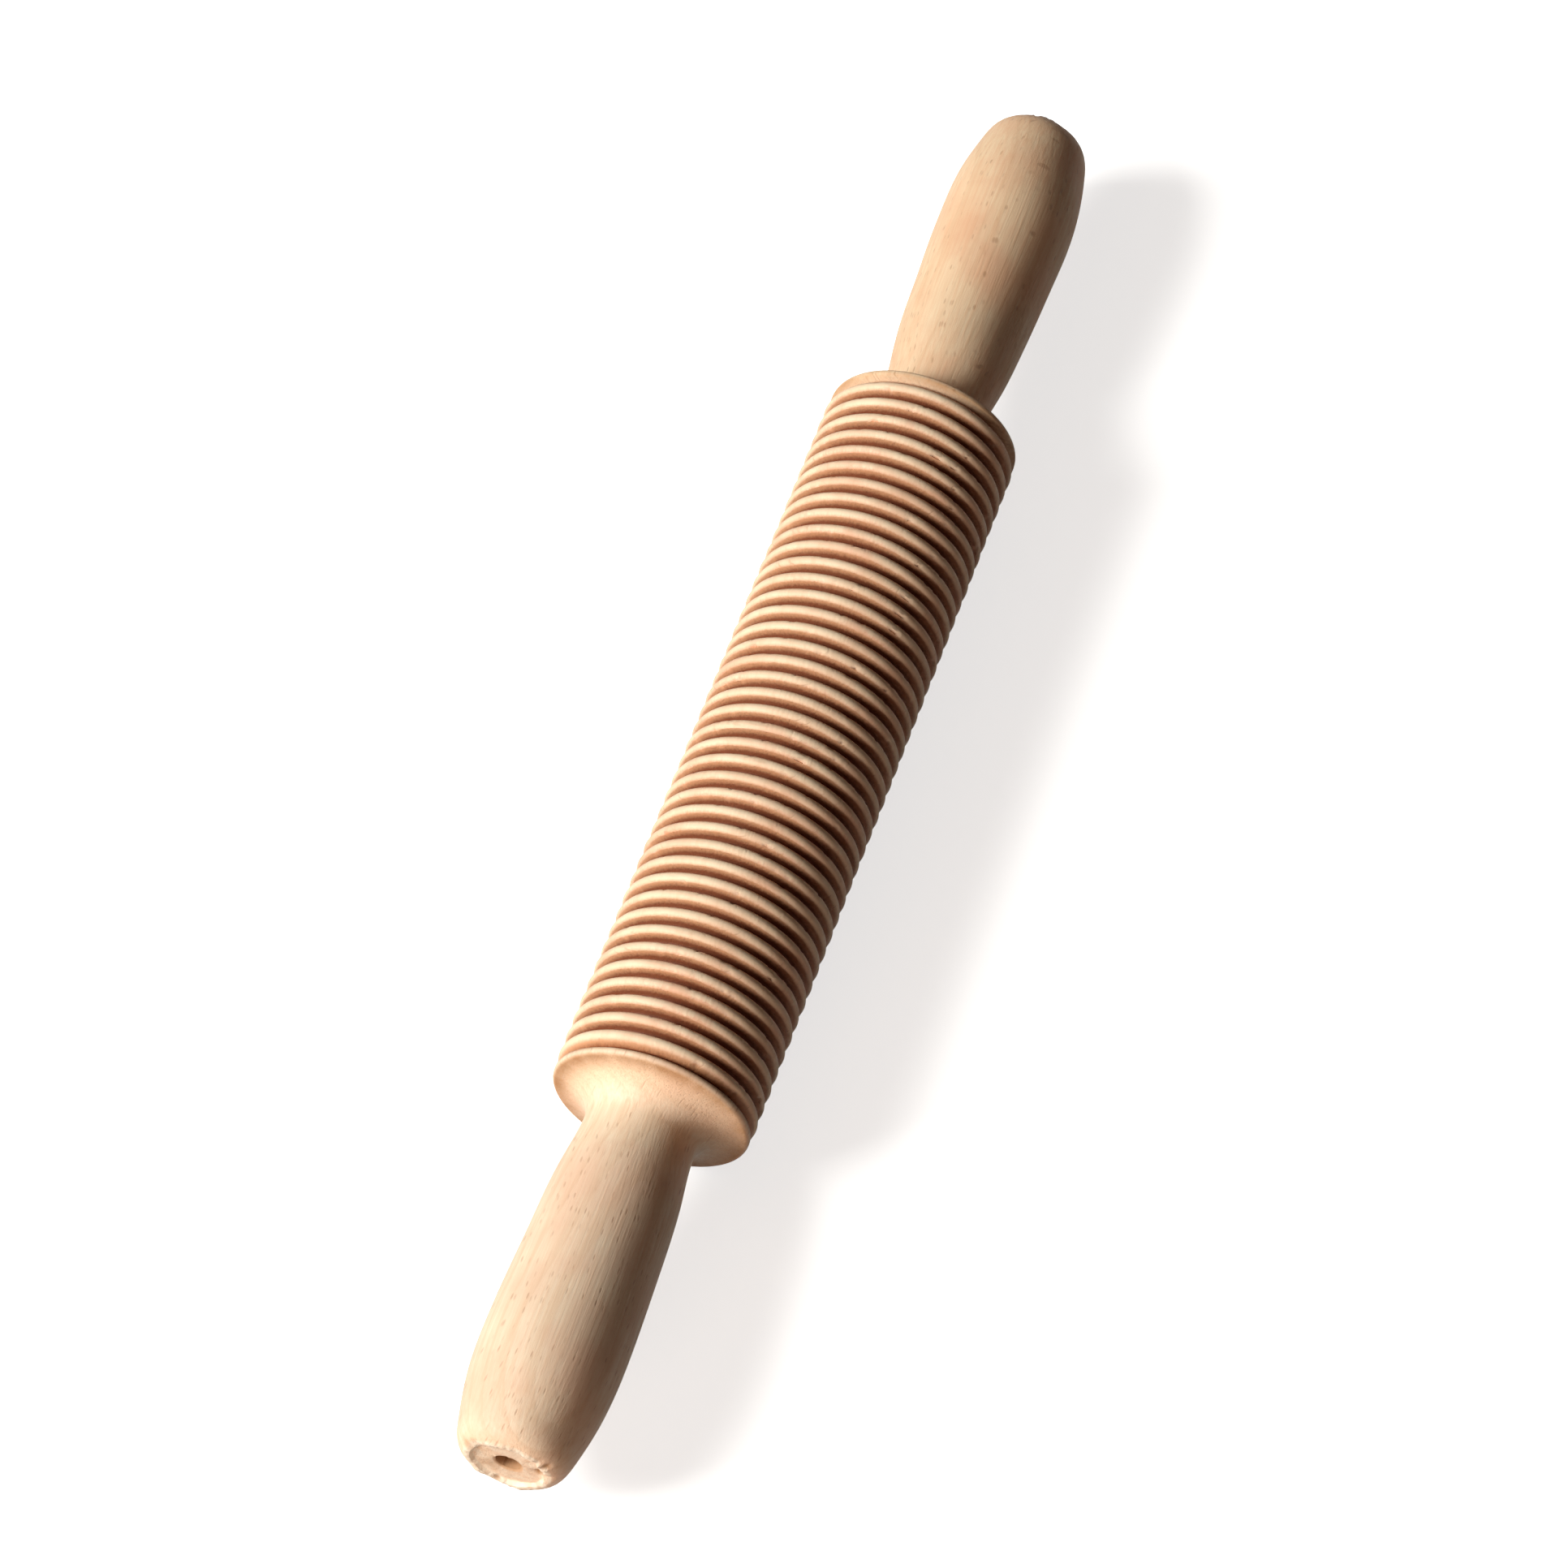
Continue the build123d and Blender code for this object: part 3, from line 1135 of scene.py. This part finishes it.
    def _tear_rim(
        self, rng: np.random.Generator, along: np.ndarray, out: np.ndarray, starts: Starts
    ) -> np.ndarray:
        """Tears the sawn end's raised rim and roughens the face inside it.

        Args:
            rng: The seeded source of the tears.
            along: X of every point, in millimetres, which this changes.
            out: Distance from the axis of every point, in millimetres, which this changes.
            starts: The ring where each form starts.

        Returns:
            How torn the fibres are at every point, from 0 to 1.
        """
        torn = np.zeros_like(along)
        ragged = sum(height * ring_noise(rng, knots, self.around) for height, knots in self.rim_tears)
        gap = np.clip(ring_noise(rng, self.gap_knots, self.around) - self.gap_from, 0, None)
        for ring, share in enumerate(self.rim_shares, starts.rim):
            along[ring] -= share * (self.rim_worn_mm + ragged + self.gap_mm * gap)
            out[ring] -= share * 0.5 * gap
        for ring in range(starts.rim + 1, starts.face + 1):
            torn[ring] = np.clip(0.75 + 0.5 * ring_noise(rng, 60, self.around) - 1.2 * gap, 0, 1)
        for ring in range(starts.face, starts.hole + 1):
            along[ring] += self.face_rough_mm * ring_noise(rng, 30, self.around)
            pale = np.clip(0.35 + 0.4 * ring_noise(rng, 24, self.around), 0, 1)
            torn[ring] = np.maximum(torn[ring], pale)
        for ring in range(starts.hole, starts.hole + 3):
            out[ring] += self.hole_rough_mm * ring_noise(rng, 11, self.around)
        return torn

    def _chip(self, along: np.ndarray, out: np.ndarray, starts: Starts) -> np.ndarray:
        """Presses the brown chips into the sawn end, and browns the hole that the lathe's centre left, with
        its burn and with painted shade deeper in.

        Args:
            along: X of every point, in millimetres, which this changes.
            out: Distance from the axis of every point, in millimetres.
            starts: The ring where each form starts.

        Returns:
            How brown each point is, from 0 to 1.
        """
        stain_and_shade = np.zeros_like(along)
        angle = np.arange(self.around) * 2 * math.pi / self.around
        y, z = out * np.cos(angle), out * np.sin(angle)
        for chip in self.chips:
            turn = math.radians(chip.degrees)
            chip_y, chip_z = chip.from_middle_mm * math.cos(turn), chip.from_middle_mm * math.sin(turn)
            away = np.hypot(y - chip_y, z - chip_z)
            near = np.clip(1.3 - away / (0.5 * chip.width_mm), 0, 1)
            near[: starts.rim - 2] = 0
            along -= chip.depth_mm * near
            stain_and_shade = np.maximum(stain_and_shade, chip.brown * near)
        # The centre hole: its burn, and painted shade growing towards the tip
        for ring, share in enumerate(self.hole_burn_and_shade, starts.hole):
            stain_and_shade[ring] = np.maximum(stain_and_shade[ring], share)
        return stain_and_shade

    def _paint_collar_shade(self, rng: np.random.Generator, stain_and_shade: np.ndarray, starts: Starts) -> None:
        """Paints shade in patches over the seam, the collar's edge and the outer part of the cove.

        Args:
            rng: The seeded source of the patches.
            stain_and_shade: How brown each point is, from 0 to 1, which this changes.
            starts: The ring where each form starts.
        """
        noises = (depth * ring_noise(rng, knots, self.around) for depth, knots in self.collar_shade_patches)
        patches = sum(noises, start=1.0)
        # Painted shade, strongest by the seam and where the collar's edge turns into the cove
        for ring, share in enumerate(self.collar_shade_shares, starts.collar):
            stain_and_shade[ring] = np.maximum(stain_and_shade[ring], share * patches)


@dataclass
class RunningGear:
    """The pieces inside that let the roller turn: rod, bushes, washers and rings, dressed in place."""

    rod: Steel
    washer: Steel
    ring: Steel
    bush: Nylon

    def dress(self) -> None:
        """Gives each inner piece of the frame its finish."""
        rod = self.rod.material()
        washer = self.washer.material()
        ring = self.ring.material()
        bush = self.bush.material()
        self._assign("axle_rod", rod)
        for end in End:
            self._assign(f"thrust_washer_{end.word}", washer)
            self._assign(f"retaining_ring_{end.word}", ring)
            self._assign(f"bearing_bush_{end.word}", bush)

    @staticmethod
    def _assign(node: str, material: bpy.types.Material) -> None:
        """Puts a material on every slot of one piece of the frame.

        Args:
            node: The piece's name.
            material: The material that it gets.
        """
        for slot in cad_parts[node].material_slots:
            slot.material = material
        log.info("%s: %s", node, material.name)


@dataclass(frozen=True)
class Lamp:
    """One soft square lamp that faces the pin, with its place and side in metres."""

    name: str
    place: tuple[float, float, float]
    side: float
    watts: float
    colour: str

    def hang(self) -> None:
        """Hangs the lamp and turns it to the pin."""
        place = Vector(self.place)
        data = bpy.data.lights.new(self.name, "AREA")
        data.size = self.side
        data.energy = self.watts
        data.color = linear(self.colour)[:3]
        lamp = bpy.data.objects.new(self.name, data)
        lamp.location = place
        lamp.rotation_euler = (-place).to_track_quat("-Z", "Y").to_euler()
        bpy.context.scene.collection.objects.link(lamp)


@dataclass
class Studio:
    """A white sweep under soft light from the left, and the camera that looks down along the pin."""

    floor_z: float
    floor_side: float = 6.0
    # Shares of the way to the sweep's edge, and how far it has curled down there, in metres
    floor_curl: tuple[tuple[float, float], ...] = ((1.0, -0.3), (0.97, -0.02), (0.9, 0.0))
    azimuth_degrees: float = 18.949
    elevation_degrees: float = 58.625
    distance: float = 1.150
    aim: tuple[float, float, float] = (-0.00587, -0.00046, 0.0)
    lens_mm: float = 135.6
    sensor_mm: float = 36.0
    # The fill is low, so that it reaches the near end and cove but not the grooves
    lamps: tuple[Lamp, ...] = (
        Lamp("key", (-0.95, 1.5, 1.3), 0.9, 60.5, "#FFFFFC"),
        Lamp("front_fill", (-1.6, 0.15, 0.32), 0.6, 9.0, "#FFE2CC"),
    )
    sky_level: float = 0.052
    sky_tint: str = "#FFCFB2"

    def build(self) -> None:
        """Builds the floor, the lights, the sky and the camera."""
        self._floor()
        self._camera()
        for lamp in self.lamps:
            lamp.hang()
        self._sky()
        log.info("studio: %d lamps", len(self.lamps))

    def _floor(self) -> None:
        """Lays the sweep: flat under the pin, with an edge that curls down far away."""
        half = self.floor_side / 2
        runs = [(-share * half, drop) for share, drop in self.floor_curl]
        runs += [(-place, drop) for place, drop in reversed(runs)]
        vertices = [(x, y, self.floor_z + min(dx, dy)) for x, dx in runs for y, dy in runs]
        side = len(runs)
        faces = [
            (i * side + j, (i + 1) * side + j, (i + 1) * side + j + 1, i * side + j + 1)
            for i in range(side - 1)
            for j in range(side - 1)
        ]
        mesh = bpy.data.meshes.new("sweep")
        mesh.from_pydata(vertices, [], faces)
        mesh.shade_smooth()
        floor = bpy.data.objects.new("sweep", mesh)
        bpy.context.scene.collection.objects.link(floor)
        mesh.materials.append(PaleFloor().material())

    def _camera(self) -> None:
        """Points the camera down along the pin from the left handle's end."""
        turn = math.radians(self.azimuth_degrees)
        down = math.radians(self.elevation_degrees)
        forward = Vector((math.cos(down) * math.cos(turn), math.cos(down) * math.sin(turn), -math.sin(down)))
        data = bpy.data.cameras.new("camera")
        data.lens = self.lens_mm
        data.sensor_width = self.sensor_mm
        data.clip_start = 0.01
        camera = bpy.data.objects.new("camera", data)
        camera.location = Vector(self.aim) - self.distance * forward
        camera.rotation_euler = forward.to_track_quat("-Z", "Y").to_euler()
        bpy.context.scene.collection.objects.link(camera)
        bpy.context.scene.camera = camera

    def _sky(self) -> None:
        """Fills the room with even light, and shows white where a look goes past the floor."""
        world = bpy.data.worlds.new("room")
        bpy.context.scene.world = world
        world.use_nodes = True
        tree = world.node_tree
        tree.nodes.clear()
        ray = add_node(tree, "LightPath")
        looked_at = add_node(
            tree, "Math", {0: ray["Is Camera Ray"], 1: ray["Is Transmission Ray"]}, operation="MAXIMUM"
        )[0]
        even = add_node(tree, "Background", {"Color": linear(self.sky_tint), "Strength": self.sky_level})
        white = add_node(tree, "Background", {"Color": WHITE, "Strength": 1.0})
        mixed = add_node(tree, "MixShader", {0: looked_at, 1: even[0], 2: white[0]})
        add_node(tree, "OutputWorld", {"Surface": mixed[0]})


def main() -> None:
    logging.basicConfig(level=logging.INFO, format="%(name)s: %(message)s")
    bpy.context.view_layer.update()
    bpy.context.scene.view_settings.view_transform = "Standard"
    lowest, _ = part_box("cutting_barrel")
    Studio(floor_z=lowest.z).build()
    # Beech, steamed and cut across its grain into ribs: matt, with a painted highlight on the crests and
    # redder painted shade in the grooves
    Roller(finish=RibbedBeech(name="ribbed_beech")).build()
    sawn_chips = (
        Chip(150.0, 8.5, 1.9, 0.5, 0.9),
        Chip(176.0, 5.9, 2.3, 0.4, 1.0),
        Chip(-72.0, 7.4, 1.6, 0.4, 0.7),
        Chip(28.0, 8.4, 2.4, 0.3, 0.5),
        Chip(-40.0, 3.9, 4.4, 0.15, 0.5),
    )
    # Raw beech, turned and sanded: cream, soft and matt, with fine streaks and brown flecks along it
    near_beech = Beech(name="turned_beech_left", pith_mm=(-34.0, 52.0))
    Handle(End.LEFT, near_beech, seed=3, chips=sawn_chips).build()
    # The same wood from another billet, a little warmer
    far_beech = Beech(
        name="turned_beech_right", pith_mm=(58.0, 21.0), pale="#FADDB8", warm="#EFBE92", rosy="#ECB38C"
    )
    Handle(End.RIGHT, far_beech, seed=7).build()
    RunningGear(
        # Cold-drawn bar: bright, with long highlights drawn out along it
        rod=Steel(name="drawn_steel_rod"),
        # Pressed from sheet: greyer than the rod
        washer=Steel(name="pressed_steel_washer", colour="#BDBBB6", shade="#A19E98"),
        # Phosphated spring steel: nearly black, with a dull grey shine
        ring=Steel(name="phosphated_spring_steel", colour="#4A4743", shade="#34312E", roughness=(0.4, 0.55)),
        # Natural nylon, as it leaves the mould: milky, with a waxy sheen
        bush=Nylon(name="moulded_nylon_bush"),
    ).dress()


if __name__ == "__main__":
    main()
